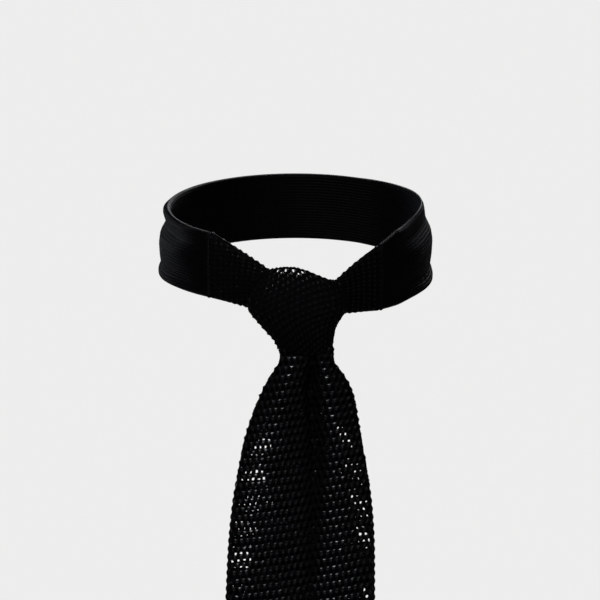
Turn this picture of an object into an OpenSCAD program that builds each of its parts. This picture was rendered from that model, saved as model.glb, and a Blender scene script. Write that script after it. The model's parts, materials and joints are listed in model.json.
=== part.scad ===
// Knitted necktie, tied in a four-in-hand knot and worn round a neck.
// Millimetres, +Z up. The wearer faces -Y, and +X is at the right of someone who faces the wearer.
// The origin is on the neck's axis, half way up the neckband at the wearer's sides.
// Soft pieces are plain closed solids of the fabric's outer size.

/* [Neckband] */
// Radius of the neck that the loop closes on
neck_r = 56; // [50:0.5:68]
// Thickness of the folded neckband
band_t = 4; // [3:0.1:5]
// Height of the neckband at the wearer's sides
band_h = 30.5; // [24:0.5:34]
// Drop of the lower edge below the origin at the front of the neck
front_drop = 27; // [22:0.5:30]
// Rise of the lower edge above the origin at the back of the neck
back_rise = 2; // [0:0.5:8]
// Angle from the front at which both ends leave the neck in a straight line
leave_deg = 38; // [34:1:42]
// Width of the seam that joins the neckband to either blade
join_w = 1.6; // [1:0.1:2.5]
// Width of the stay tape inside the neckband
tape_w = 14; // [8:1:18]
// Thickness of the stay tape
tape_t = 0.6; // [0.4:0.1:0.8]

/* [Knot] */
// Height of the knot's top edge, below the origin
knot_top = 8; // [6:0.5:9]
// Height of the knot from top to bottom
knot_h = 37; // [34:0.5:40]
// Depth of the knot from front to back
knot_d = 20; // [17:0.5:24]
// Gap between the back of the knot and the neck
knot_gap = 2; // [1:0.5:4]
// How far the knot can be let down along the tail
knot_travel = 60; // [30:5:60]

/* [Front blade] */
// Width of the front blade where it is fully open
blade_w = 65; // [55:1:75]
// Width of the front blade where it leaves the knot
blade_neck_w = 22.5; // [20:0.5:26]
// Distance over which the blade opens out by about two thirds
flare_len = 32; // [24:1:40]
// Length of the front blade below its pivot, hem included
blade_len = 456; // [380:2:480]
// Thickness of either blade, two layers of knit
blade_t = 3.2; // [2.6:0.1:3.6]
// Distance from the blade's pivot down to the line where it folds
fold_drop = 221; // [180:1:230]
// Sideways place of the front blade's centre line
blade_x = 2.2; // [0:0.1:4]
// Height of the hem at the end of either blade
hem_h = 8; // [6:0.5:12]

/* [Tail] */
// Width of the tail where it runs through the knot
tail_neck_w = 16; // [12:0.5:17]
// Width of the tail where it is fully open
tail_w = 52; // [44:1:58]
// Thickness of the tail
tail_t = 3; // [2.4:0.1:3.4]
// Sideways place of the tail's centre line
tail_x = 4.8; // [4:0.1:6]
// Length of the tail below the bottom of the knot, hem included
tail_len = 335; // [280:5:360]

/* [Keeper and label] */
// Width of the keeper loop across the blade's back
keeper_w = 30; // [24:1:36]
// Height of the keeper loop's strap
keeper_h = 12; // [8:1:16]
// Distance of the keeper loop above the end of the front blade
keeper_rise = 190; // [150:5:210]
// Width and height of the blank care label
label_w = 24; // [16:1:30]
label_h = 16; // [10:1:24]

/* [Hidden] */

knit = [0.05, 0.05, 0.06];
fine_knit = [0.08, 0.09, 0.11];
thread = [0.12, 0.12, 0.13];
tape = [0.3, 0.3, 0.32];
satin = [0.16, 0.16, 0.18];

$fn = 96;
eps = 0.02;        // makes a cut run past the face it opens
cut = 400;         // longer than anything that is cut
gap = 0.4;         // room between pieces that move past each other
seat = 0.1;        // room between wraps of the knot
wall_r = neck_r + band_t / 2;                            // middle of the band's wall
tilt = atan((front_drop + back_rise) / (2 * wall_r));    // slope of the loop from front to back
side_low = (back_rise - front_drop) / 2;                 // lower edge of the band at the sides
join_deg = (join_w + seat) / wall_r * 180 / PI;          // room for the seam at each end of the band

knot_low = -knot_top - knot_h;
knot_back = -neck_r - knot_gap;
tail_y = knot_back - 6.5;                                // middle plane of the tail
knot_split = tail_y - tail_t / 2 - gap;                  // plane between the front and back wraps
blade_y = knot_back - 13.5;                              // middle plane of the front blade
blade_back = blade_y + blade_t / 2;
pivot_z = knot_low - 4;                                  // axis on which the blade swings
fold_z = pivot_z - fold_drop;                            // axis on which the blade folds
blade_end = pivot_z - blade_len;
tail_end = knot_low - tail_len;
tube_gap = 0.8;                                          // space between a tube's two layers
side_wall = 1.6;                                         // cloth at either side of that space
sway_r = 14;                                             // round top of the tail's lower part
sway_z = knot_low - knot_travel - sway_r - 9;            // axis on which the tail swings
keeper_z = blade_end + keeper_rise;
keeper_t = 0.8;
keeper_off = 1;                                          // slot under the keeper's strap
label_t = 0.4;
label_z = keeper_z - 40;
stitch_t = 0.3;
cap_z = -knot_top - 5;                                   // line where the riser turns over the top
turn_gap = 0.3;                                          // room above a round edge that turns
hem_proud = 0.3;                                         // rise of a hem above either face of the knit
side_ease = 1.6;                                         // crowds the outline's points at its top
front_lead_len = 25;                                     // straight strip from the join to the knot
front_lead_h = 17.5;                                     // height of that strip at its end
tail_lead_len = 31;
tail_lead_h = 13.5;
lead_ease = 1.8;                                         // a lead narrows slowly, then faster
blade_lean = 2.8;                                        // sideways shift of the blade at its pivot
lean_len = 40;                                           // the shift fades over this depth
tail_flare_len = 18;                                     // the tail opens out over this depth
tape_room = 0.2;                                         // gap on either side of the stay tape
tape_slack = 0.5;                                        // gap above and below the stay tape
tape_short_deg = 1;                                      // the stay tape stops short of the joins
knot_round = 0.7;                                        // 1 is an ellipse, less is a rounder box

// Lower edge of the loop at depth y: a plane that rises to the back
function low_z(y) = side_low + y * tan(tilt);

// Half width of the front blade at depth d below its pivot, opening out from the knot
function blade_half(d) = (blade_w - (blade_w - blade_neck_w) * exp(-max(d, 0) / flare_len)) / 2;

// Sideways place of the front blade's centre at depth d below its pivot
function blade_mid(d) = blade_x + blade_lean * exp(-max(d, 0) / lean_len);

// Half width of the tail at depth d below the axis that it swings on
function tail_half(d) = (tail_w - (tail_w - 2 * sway_r) * exp(-max(d, 0) / tail_flare_len)) / 2;

// Height left of a lead at a share k of its way to the knot, where its end is end_h high
function lead_h(k, end_h) = band_h - (band_h - end_h) * pow(k, lead_ease);

// Depths from a to b in n steps, closest together at a
function side_depths(a, b, n) = [for (i = [0 : n]) a + (b - a) * pow(i / n, side_ease)];

// Outline of the front blade between depths a and b, with an inset from both sides
function blade_outline(a, b, inset, n = 18) =
    let (d = side_depths(a, b, n))
    concat(
        [for (x = d) [blade_mid(x) - blade_half(x) + inset, pivot_z - x]],
        [for (i = [n : -1 : 0]) [blade_mid(d[i]) + blade_half(d[i]) - inset, pivot_z - d[i]]]
    );

// Edges of the knot seen from the front: share of its height, left edge, right edge
KNOT_EDGES = [
    [0.00, -9.5, 8.5], [0.06, -13.0, 14.0], [0.20, -15.5, 18.5], [0.36, -18.5, 21.0],
    [0.48, -19.5, 21.5], [0.64, -16.5, 19.0], [0.82, -10.0, 16.8], [1.00, -6.5, 15.8]
];

// Depth of the knot at share k of its height, fullest above the middle
function knot_depth(k) = knot_d * (0.7 + 0.3 * sin(180 * min(1, 0.12 + 0.8 * k)));

// One ring of the knot: a rounded box with its flat side to the neck
function knot_ring(e, n = 32) =
    let (half = (e[2] - e[1]) / 2, mid = (e[2] + e[1]) / 2, deep = knot_depth(e[0]) / 2)
    [for (i = [0 : n - 1])
        let (c = cos(360 * i / n), s = sin(360 * i / n))
        [mid + half * sign(c) * pow(abs(c), knot_round),
         knot_back - deep + deep * sign(s) * pow(abs(s), knot_round),
         -knot_top - knot_h * e[0]]];

// Closed skin through rings that all have n points, listed from the top down
module loft(rings) {
    n = len(rings[0]);
    m = len(rings);
    polyhedron(
        points = [for (r = rings) each r],
        faces = concat(
            [[for (i = [n - 1 : -1 : 0]) i]],
            [for (j = [0 : m - 2], i = [0 : n - 1])
                each [[j * n + i, j * n + (i + 1) % n, (j + 1) * n + i],
                      [j * n + (i + 1) % n, (j + 1) * n + (i + 1) % n, (j + 1) * n + i]]],
            [[for (i = [0 : n - 1]) (m - 1) * n + i]]
        )
    );
}

// Plate in the XZ plane, t thick about depth y
module plate(points, y, t) {
    translate([0, y + t / 2, 0])
        rotate([90, 0, 0])
            linear_extrude(t)
                polygon(points);
}

// Axis-aligned block from its two corners
module block(low, high) {
    translate(low)
        cube(high - low);
}

// The loop's height: everything between two planes that rise to the back, inset from each
module loop_slab(inset) {
    translate([0, 0, side_low + inset / cos(tilt)])
        rotate([tilt, 0, 0])
            translate([-cut / 2, -cut / 2, 0])
                cube([cut, cut, (band_h * cos(tilt)) - 2 * inset]);
}

// The front sector of the loop, within the given angle of straight ahead
module front_sector(deg) {
    reach = 2 * neck_r;
    translate([0, 0, -cut / 2])
        linear_extrude(cut)
            polygon([[0, 0], [-reach * tan(deg), -reach], [reach * tan(deg), -reach]]);
}

// Wall of the loop between two radii, cut to the loop's height, open at the front
module loop_wall(inner, outer, inset, deg) {
    difference() {
        intersection() {
            translate([0, 0, -cut / 2])
                cylinder(r = outer, h = cut, $fn = 180);
            loop_slab(inset);
        }
        translate([0, 0, -cut / 2 - eps])
            cylinder(r = inner, h = cut + 2 * eps, $fn = 180);
        front_sector(deg);
    }
}

// Places a piece on the straight part of the loop: x runs to the knot, y outwards
module on_lead() {
    translate([wall_r * sin(leave_deg), -wall_r * cos(leave_deg), 0])
        rotate([0, 0, 180 + leave_deg])
            children();
}

// Straight strip from the join to the knot, of length l, its height falling to end_h
module lead_strip(l, end_h) {
    n = 8;
    low = [for (i = [0 : n]) low_z(-wall_r * cos(leave_deg) - l * i / n * sin(leave_deg))];
    on_lead()
        plate(
            concat(
                [for (i = [0 : n]) [l * i / n, low[i]]],
                [for (i = [n : -1 : 0]) [l * i / n, low[i] + lead_h(i / n, end_h)]]
            ),
            0, band_t
        );
}

// The seam: a raised strip across the band, just behind the start of the lead
module join_seam() {
    proud = 0.4;
    low = low_z(-wall_r * cos(leave_deg));
    on_lead()
        block([-join_w, -band_t / 2, low - proud], [-seat, band_t / 2 + proud, low + band_h + proud]);
}

// Room that the knot sweeps through as it is let down
module knot_sweep() {
    left = -20.6;        // just past the knot's widest point
    top = -24;           // from here down the whole width is clear
    behind = 4;          // how far the room reaches behind the band's wall
    wider = 1.03;        // width of the room against the knot's
    deeper = 3;          // room before and behind the knot
    front_y = knot_back - 8;
    block([left, -cut, -cut], [cut, behind - wall_r, top]);
    loft([
        for (e = KNOT_EDGES) if (e[0] < 0.5) [
            for (p = knot_ring(e))
                [p[0] * wider - gap, p[1] + (p[1] > front_y ? deeper : -deeper), p[2] + gap]
        ]
    ]);
}

module knot_body() {
    loft([for (e = KNOT_EDGES) knot_ring(e)]);
}

// Slot for the tail, open above and below, with a gate at the right for the lead
module tail_slot() {
    gate_in = 4;         // the gate starts this far right of the tail's middle
    gate_top = -29.3;    // just under the lead's lower edge
    half = tail_neck_w / 2 + gap;
    block([tail_x - half, knot_split, -cut], [tail_x + half, tail_y + tail_t / 2 + gap, cut]);
    block([tail_x + gate_in, knot_split, gate_top], [cut, 0, cut]);
}

// The blade's last pass, straight down through the front wrap
module inner_pass(room) {
    low = pivot_z + blade_t / 2 + turn_gap;
    top = -knot_top - 7;
    top_half = 6 + room;
    low_half = 9.5 + room;
    pass_t = 4.6;        // gathered cloth, thicker than the open blade
    plate([
        [blade_mid(0) - top_half, top + room], [blade_mid(0) + top_half, top + room],
        [blade_mid(0) + low_half, low - room], [blade_mid(0) - low_half, low - room]
    ], blade_y, pass_t + 2 * room);
}

// Flat tube of knit between two depths below the pivot, with its two layers
module blade_tube(a, b) {
    closed = 6;          // length at the top where the two layers are fixed together
    difference() {
        plate(blade_outline(a, b, 0), blade_y, blade_t);
        plate(blade_outline(a + closed, b + 1, side_wall), blade_y, tube_gap);
    }
}

// Round edge along X at height z, so that the blade can turn about it
module turning_edge(z, mid, half) {
    translate([mid - half, blade_y, z])
        rotate([0, 90, 0])
            cylinder(d = blade_t, h = 2 * half);
}

// Two small bars of thread across the corners of a hem
module corner_tacks(mid, half, z, y, t) {
    long = 3;
    high = 1;
    for (side = [-1, 1])
        translate([mid + side * (half - long) - long / 2, y - t / 2 - stitch_t, z + hem_h - high])
            cube([long, t + 2 * stitch_t, high]);
}

module neckband() {
    color(fine_knit)
        difference() {
            loop_wall(neck_r, neck_r + band_t, 0, leave_deg + join_deg);
            loop_wall(wall_r - tape_t / 2 - tape_room, wall_r + tape_t / 2 + tape_room,
                (band_h * cos(tilt) - tape_w) / 2 - tape_slack, leave_deg);
        }
}

module stay_tape() {
    color(tape)
        loop_wall(wall_r - tape_t / 2, wall_r + tape_t / 2,
            (band_h * cos(tilt) - tape_w) / 2, leave_deg + join_deg + tape_short_deg);
}

module front_join_seam() {
    color(thread)
        mirror([1, 0, 0])
            join_seam();
}

module tail_join_seam() {
    color(thread)
        join_seam();
}

module front_lead() {
    color(knit)
        difference() {
            mirror([1, 0, 0])
                lead_strip(front_lead_len, front_lead_h);
            knot_sweep();
        }
}

module tail_upper() {
    color(knit) {
        difference() {
            union() {
                lead_strip(tail_lead_len, tail_lead_h);
                block([tail_x - tail_neck_w / 2, tail_y - tail_t / 2, sway_z],
                      [tail_x + tail_neck_w / 2, tail_y + tail_t / 2, cap_z]);
            }
            block([-cut, -cut, -cut], [cut, tail_y - tail_t / 2, cut]);
            translate([tail_x, tail_y, sway_z])
                rotate([90, 0, 0])
                    cylinder(r = sway_r + gap, h = 2 * tail_t, center = true);
        }
    }
}

module knot_back_wrap() {
    color(knit)
        difference() {
            knot_body();
            block([-cut, -cut, -cut], [cut, knot_split, cut]);
            block([-cut, -cut, cap_z], [cut, cut, cut]);
            tail_slot();
        }
}

module knot_front_wrap() {
    color(knit)
        difference() {
            knot_body();
            block([-cut, knot_split - seat, -cut], [cut, cut, cut]);
            block([-cut, -cut, cap_z], [cut, cut, cut]);
            inner_pass(seat);
        }
}

module knot_riser() {
    color(knit)
        difference() {
            knot_body();
            block([-cut, -cut, -cut], [cut, cut, cap_z + seat]);
            tail_slot();
        }
}

module knot_inner_pass() {
    color(knit)
        inner_pass(0);
}

module front_blade_upper() {
    color(knit) {
        blade_tube(0, fold_drop - blade_t / 2 - turn_gap);
        turning_edge(pivot_z, blade_mid(0), blade_half(0));
    }
}

module front_blade_lower() {
    color(knit) {
        blade_tube(fold_drop, blade_len - hem_h);
        turning_edge(fold_z, blade_mid(fold_drop), blade_half(fold_drop));
    }
}

module front_hem() {
    color(knit)
        plate(blade_outline(blade_len - hem_h, blade_len, 0, 2), blade_y, blade_t + 2 * hem_proud);
}

module front_hem_tacks() {
    color(thread)
        corner_tacks(blade_mid(blade_len), blade_half(blade_len), blade_end, blade_y, blade_t + 2 * hem_proud);
}

module keeper_loop() {
    foot = 3;
    out = blade_back + keeper_off;
    color(satin) {
        block([blade_x - keeper_w / 2, out, keeper_z - keeper_h / 2],
              [blade_x + keeper_w / 2, out + keeper_t, keeper_z + keeper_h / 2]);
        for (side = [-1, 1])
            translate([blade_x + side * (keeper_w - foot) / 2 - foot / 2, blade_back, keeper_z - keeper_h / 2])
                cube([foot, keeper_off + keeper_t, keeper_h]);
    }
}

module keeper_tacks() {
    wide = 1.2;
    high = 3;
    inset = 1.5;         // from the end of the strap to the middle of a tack
    color(thread)
        for (side = [-1, 1], up = [-1, 1])
            translate([blade_x + side * (keeper_w / 2 - inset) - wide / 2,
                       blade_back + keeper_off + keeper_t, keeper_z + up * high - high / 2])
                cube([wide, stitch_t, high]);
}

module care_label() {
    color(satin)
        block([blade_x - label_w / 2, blade_back, label_z - label_h / 2],
              [blade_x + label_w / 2, blade_back + label_t, label_z + label_h / 2]);
}

module label_stitches() {
    n = 6;
    long = 2;
    high = 0.5;
    margin = 2;          // from the label's sides and top to the middle of a stitch
    pitch = (label_w - 2 * margin) / (n - 1);
    left = blade_x - label_w / 2 + margin - long / 2;
    color(thread)
        for (i = [0 : n - 1])
            translate([left + i * pitch, blade_back + label_t, label_z + label_h / 2 - margin])
                cube([long, stitch_t, high]);
}

module tail_lower() {
    n = 14;
    closed = 40;         // length at the top where the two layers are fixed together
    side = 2;            // cloth at either side of the space between the layers
    long = sway_z - tail_end - hem_h;
    depths = side_depths(0, long, n);
    color(knit)
        difference() {
            union() {
                plate(concat(
                    [for (d = depths) [tail_x - tail_half(d), sway_z - d]],
                    [for (i = [n : -1 : 0]) [tail_x + tail_half(depths[i]), sway_z - depths[i]]]
                ), tail_y, tail_t);
                translate([tail_x, tail_y, sway_z])
                    rotate([90, 0, 0])
                        cylinder(r = sway_r, h = tail_t, center = true);
            }
            block([tail_x - tail_w / 2 + side, tail_y - tube_gap / 2, -cut * 2],
                  [tail_x + tail_w / 2 - side, tail_y + tube_gap / 2, sway_z - closed]);
        }
}

module tail_hem() {
    half = tail_half(sway_z - tail_end);
    out = tail_t / 2 + hem_proud;
    color(knit)
        block([tail_x - half, tail_y - out, tail_end], [tail_x + half, tail_y + out, tail_end + hem_h]);
}

module tail_hem_tacks() {
    color(thread)
        corner_tacks(tail_x, tail_half(sway_z - tail_end), tail_end, tail_y, tail_t + 2 * hem_proud);
}

neckband();
stay_tape();
front_join_seam();
tail_join_seam();
front_lead();
tail_upper();
knot_back_wrap();
knot_front_wrap();
knot_riser();
knot_inner_pass();
front_blade_upper();
front_blade_lower();
front_hem();
front_hem_tacks();
keeper_loop();
keeper_tacks();
care_label();
label_stitches();
tail_lower();
tail_hem();
tail_hem_tacks();
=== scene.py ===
import json
import math
import bpy
import numpy as np
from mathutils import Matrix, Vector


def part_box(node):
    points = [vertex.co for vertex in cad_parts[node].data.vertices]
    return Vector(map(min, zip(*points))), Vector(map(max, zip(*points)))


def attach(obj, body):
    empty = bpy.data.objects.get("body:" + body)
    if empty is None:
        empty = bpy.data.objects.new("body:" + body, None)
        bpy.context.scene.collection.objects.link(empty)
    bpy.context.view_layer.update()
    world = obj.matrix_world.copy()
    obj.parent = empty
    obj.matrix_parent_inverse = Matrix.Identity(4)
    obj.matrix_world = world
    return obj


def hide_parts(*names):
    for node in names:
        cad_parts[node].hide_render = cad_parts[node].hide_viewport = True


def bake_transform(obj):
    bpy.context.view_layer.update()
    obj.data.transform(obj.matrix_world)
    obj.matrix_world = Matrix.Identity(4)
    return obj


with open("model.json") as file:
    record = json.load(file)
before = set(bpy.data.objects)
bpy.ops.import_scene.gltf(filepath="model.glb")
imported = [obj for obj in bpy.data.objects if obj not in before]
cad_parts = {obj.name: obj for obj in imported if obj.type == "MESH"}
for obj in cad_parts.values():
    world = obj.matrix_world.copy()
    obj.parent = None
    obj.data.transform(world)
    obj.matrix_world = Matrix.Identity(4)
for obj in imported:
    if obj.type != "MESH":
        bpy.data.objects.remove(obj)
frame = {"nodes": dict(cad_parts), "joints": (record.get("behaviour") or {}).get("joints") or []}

bpy.context.view_layer.update()
print("frame loaded:", len(frame["nodes"]), "nodes")

mm = 0.001  # all shapes below are worked out in millimetres
joints = {j["name"]: j for j in frame["joints"]}


def corners(node):
    # lowest and highest corner of a CAD node, in millimetres
    low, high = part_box(node)
    return np.array(low) / mm, np.array(high) / mm


def jointPoint(name):
    return np.array(joints[name]["pos_m"]) / mm


swingAt = jointPoint("blade_swing")
swayAt = jointPoint("tail_swing")

studio = {
    "cameraAt": (0.0022, -1.5, 0.0317),
    "pitch": 2.163,  # degrees below level
    "lens": 198.6,
    "backdrop": (0.85, 0.848, 0.845),
    "ambient": 0.05,  # share of the backdrop's light that falls on the tie
    "floorBelow": 95.0,  # gap under the tip of the blade
    "floorRadius": 3.2,
    "floorDull": (0.50, 0.498, 0.495),
    "floorPale": (0.54, 0.538, 0.535),
    "floorGlow": 0.62,
}

# each light: where it is, what it points at, its two sides, its power and its tint
lights = {
    "keyLight": ((-0.55, -1.5, 1.35), (0, 0, -0.1), (0.35, 0.18), 27, (0.90, 0.94, 1.0)),
    "sideLight": ((-1.15, 1.45, 0.30), (0, 0, -0.05), (0.5, 1.2), 2.2, (0.84, 0.90, 1.0)),
    "fillLight": ((1.6, -0.9, 0.5), (0, 0, -0.15), (0.8, 1.2), 1.2, (1.0, 0.98, 0.96)),
    "backLight": ((0.5, 1.7, 0.9), (0, 0, -0.1), (1.2, 0.8), 10, (0.95, 0.97, 1.0)),
}


def makeCamera():
    camera = bpy.data.objects.new("camera", bpy.data.cameras.new("camera"))
    bpy.context.scene.collection.objects.link(camera)
    camera.location = studio["cameraAt"]
    camera.rotation_euler = (math.radians(90 - studio["pitch"]), 0, 0)
    camera.data.sensor_width = 36
    camera.data.lens = studio["lens"]
    camera.data.clip_end = 50
    bpy.context.scene.camera = camera


def areaLight(name, at, target, size, power, tint):
    data = bpy.data.lights.new(name, "AREA")
    data.shape = "RECTANGLE"
    data.size, data.size_y = size
    data.energy = power
    data.color = tint
    light = bpy.data.objects.new(name, data)
    bpy.context.scene.collection.objects.link(light)
    light.location = at
    away = np.array(at, float) - np.array(target, float)
    turn = math.atan2(away[0], -away[1])
    rise = math.atan2(away[2], math.hypot(away[0], away[1]))
    light.rotation_euler = (math.pi / 2 - rise, 0, turn)


def makeStudio():
    world = bpy.data.worlds.new("studio")
    bpy.context.scene.world = world
    world.use_nodes = True
    nodes, links = world.node_tree.nodes, world.node_tree.links
    nodes.clear()
    out = nodes.new("ShaderNodeOutputWorld")
    mix = nodes.new("ShaderNodeMixShader")
    seen = nodes.new("ShaderNodeBackground")
    lit = nodes.new("ShaderNodeBackground")
    path = nodes.new("ShaderNodeLightPath")
    seen.inputs["Color"].default_value = (*studio["backdrop"], 1)
    lit.inputs["Color"].default_value = (*studio["backdrop"], 1)
    lit.inputs["Strength"].default_value = studio["ambient"]
    links.new(path.outputs["Is Camera Ray"], mix.inputs["Fac"])
    links.new(lit.outputs[0], mix.inputs[1])
    links.new(seen.outputs[0], mix.inputs[2])
    links.new(mix.outputs[0], out.inputs["Surface"])
    bpy.context.scene.view_settings.view_transform = "Standard"
    for name, spec in lights.items():
        areaLight(name, *spec)



def newGroup(name, inputs, outputs):
    group = bpy.data.node_groups.new(name, "ShaderNodeTree")
    for title, kind, value in inputs:
        socket = group.interface.new_socket(title, in_out="INPUT", socket_type=kind)
        if value is not None:
            socket.default_value = value
    for title, kind in outputs:
        group.interface.new_socket(title, in_out="OUTPUT", socket_type=kind)
    source = group.nodes.new("NodeGroupInput")
    result = group.nodes.new("NodeGroupOutput")
    return group, source, result


def mathNode(tree, operation, a, b=None, c=None):
    node = tree.nodes.new("ShaderNodeMath")
    node.operation = operation
    for slot, value in enumerate((a, b, c)):
        if value is None:
            continue
        if isinstance(value, (int, float)):
            node.inputs[slot].default_value = value
        else:
            tree.links.new(value, node.inputs[slot])
    return node.outputs[0]


def makeYarnGroup():
    # height = slanting ridges of plied yarn + fuzz * fine fibre noise + crowned * crown of the loop;
    # shade is a slow change of dye over the cloth, wear is small rubbed spots
    group, source, result = newGroup(
        "plyTwist",
        [("Stitches", "NodeSocketVector", None), ("Place", "NodeSocketVector", None),
         ("Twists", "NodeSocketFloat", 3.0), ("Fuzz", "NodeSocketFloat", 0.35),
         ("Patch", "NodeSocketFloat", 60.0), ("Crowned", "NodeSocketFloat", 0.0)],
        [("Height", "NodeSocketFloat"), ("Shade", "NodeSocketFloat"), ("Wear", "NodeSocketFloat"),
         ("Crown", "NodeSocketFloat")],
    )
    links = group.links
    split = group.nodes.new("ShaderNodeSeparateXYZ")
    links.new(source.outputs["Stitches"], split.inputs[0])
    across, along = split.outputs[0], split.outputs[1]
    slant = mathNode(group, "MULTIPLY_ADD", along, 1.6, across)
    phase = mathNode(group, "MULTIPLY", slant, source.outputs["Twists"])
    ridge = mathNode(group, "SINE", mathNode(group, "MULTIPLY", phase, 2 * math.pi))
    ridge = mathNode(group, "MULTIPLY_ADD", ridge, 0.5, 0.5)
    fibre = group.nodes.new("ShaderNodeTexNoise")
    fibre.inputs["Scale"].default_value = 9.0
    fibre.inputs["Detail"].default_value = 3.0
    links.new(source.outputs["Stitches"], fibre.inputs["Vector"])
    height = mathNode(group, "MULTIPLY_ADD", fibre.outputs["Fac"], source.outputs["Fuzz"], ridge)
    dye = group.nodes.new("ShaderNodeTexNoise")
    dye.inputs["Detail"].default_value = 2.0
    links.new(source.outputs["Patch"], dye.inputs["Scale"])
    links.new(source.outputs["Place"], dye.inputs["Vector"])
    links.new(dye.outputs["Fac"], result.inputs["Shade"])
    rub = group.nodes.new("ShaderNodeTexNoise")
    rub.inputs["Scale"].default_value = 420.0
    rub.inputs["Detail"].default_value = 1.0
    links.new(source.outputs["Place"], rub.inputs["Vector"])
    wear = mathNode(group, "MULTIPLY", mathNode(group, "SUBTRACT", rub.outputs["Fac"], 0.52), 6.0)
    wear.node.use_clamp = True
    links.new(wear, result.inputs["Wear"])
    # crown of each loop, a short dash across the cloth:
    # (cos(2 pi across) * cos(pi along), where above nought) ^ 0.5 * |cos(pi along)| ^ 5
    course = mathNode(group, "COSINE", mathNode(group, "MULTIPLY", along, math.pi))
    wave = mathNode(group, "COSINE", mathNode(group, "MULTIPLY", across, 2 * math.pi))
    wave = mathNode(group, "MULTIPLY", wave, course)
    wave.node.use_clamp = True
    narrow = mathNode(group, "POWER", mathNode(group, "ABSOLUTE", course), 5.0)
    crown = mathNode(group, "MULTIPLY", mathNode(group, "POWER", wave, 0.5), narrow)
    links.new(crown, result.inputs["Crown"])
    total = mathNode(group, "MULTIPLY_ADD", crown, source.outputs["Crowned"], height)
    links.new(total, result.inputs["Height"])
    return group


def makeRibGroup():
    # fine ribs across the first coordinate, with small stitches along each rib;
    # height = |cos(pi across / rib)| * (1 + stitch * sin(2 pi (along / pitch + lean)))
    group, source, result = newGroup(
        "fineRib",
        [("Stitches", "NodeSocketVector", None), ("Rib", "NodeSocketFloat", 1.3),
         ("Pitch", "NodeSocketFloat", 0.9), ("Stitch", "NodeSocketFloat", 0.5)],
        [("Height", "NodeSocketFloat")],
    )
    links = group.links
    split = group.nodes.new("ShaderNodeSeparateXYZ")
    links.new(source.outputs["Stitches"], split.inputs[0])
    across = mathNode(group, "DIVIDE", split.outputs[0], source.outputs["Rib"])
    along = mathNode(group, "DIVIDE", split.outputs[1], source.outputs["Pitch"])
    wave = mathNode(group, "COSINE", mathNode(group, "MULTIPLY", across, math.pi))
    rib = mathNode(group, "ABSOLUTE", wave)
    lean = mathNode(group, "PINGPONG", across, 0.5)
    turns = mathNode(group, "ADD", along, lean)
    stitch = mathNode(group, "SINE", mathNode(group, "MULTIPLY", turns, 2 * math.pi))
    raised = mathNode(group, "MULTIPLY_ADD", stitch, source.outputs["Stitch"], 1.0)
    links.new(mathNode(group, "MULTIPLY", rib, raised), result.inputs["Height"])
    return group


plyTwist = makeYarnGroup()
fineRib = makeRibGroup()

# pairs run from the cloth at large to the crowns of the loops, whose paler colour is a painted highlight, or
# to the paler dye on ribs; gloss, sheen and coat are shader weights, bump is a depth in metres
finishes = {
    "openKnit": {"dark": (0.0004, 0.0004, 0.0005), "light": (0.0020, 0.0021, 0.0028),
                 "roughness": (0.65, 0.45), "gloss": 0.05, "sheen": 0.0, "coat": 1.0,
                 "twists": 2.5, "crowned": 2.6, "bump": 0.00016},
    # for the tightly knit knot and leads: a copy of the open knit with darker crowns and a weaker coat, as
    # painted shade
    "shadedTightKnit": {"dark": (0.0004, 0.0004, 0.0005), "light": (0.0012, 0.0012, 0.0016),
                  "roughness": (0.65, 0.50), "gloss": 0.05, "sheen": 0.0, "coat": 0.22,
                  "twists": 2.5, "crowned": 2.6, "bump": 0.00016},
    "fineKnit": {"dark": (0.0003, 0.0003, 0.0004), "light": (0.0009, 0.0009, 0.0012),
                 "roughness": (0.36, 0.46), "gloss": 0.03, "sheen": 0.012,
                 "rib": 1.3, "pitch": 1.0, "bump": 0.00022},
    "thread": {"dark": (0.0006, 0.0006, 0.0008), "light": (0.0022, 0.0022, 0.0028),
               "roughness": (0.40, 0.52), "gloss": 0.09, "sheen": 0.0,
               "twists": 1.5, "bump": 0.00010},
    "satin": {"dark": (0.0045, 0.0045, 0.0055), "light": (0.0100, 0.0100, 0.0125),
              "roughness": (0.20, 0.34), "gloss": 0.45, "sheen": 0.04,
              "rib": 0.42, "pitch": 1.6, "bump": 0.00005},
    "stayTape": {"dark": (0.0100, 0.0100, 0.0110), "light": (0.0220, 0.0220, 0.0240),
                 "roughness": (0.60, 0.75), "gloss": 0.25, "sheen": 0.05,
                 "rib": 0.8, "pitch": 0.8, "bump": 0.00008},
}


shading = {
    "sheenRoughness": 0.35,
    "sheenTint": (0.75, 0.82, 1.0, 1),
    "coatRoughness": 0.24,
    "bumpStrength": 0.8,
    "wornPaler": 1.8,  # times the light colour
    "wornShare": 0.5,
}


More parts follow.
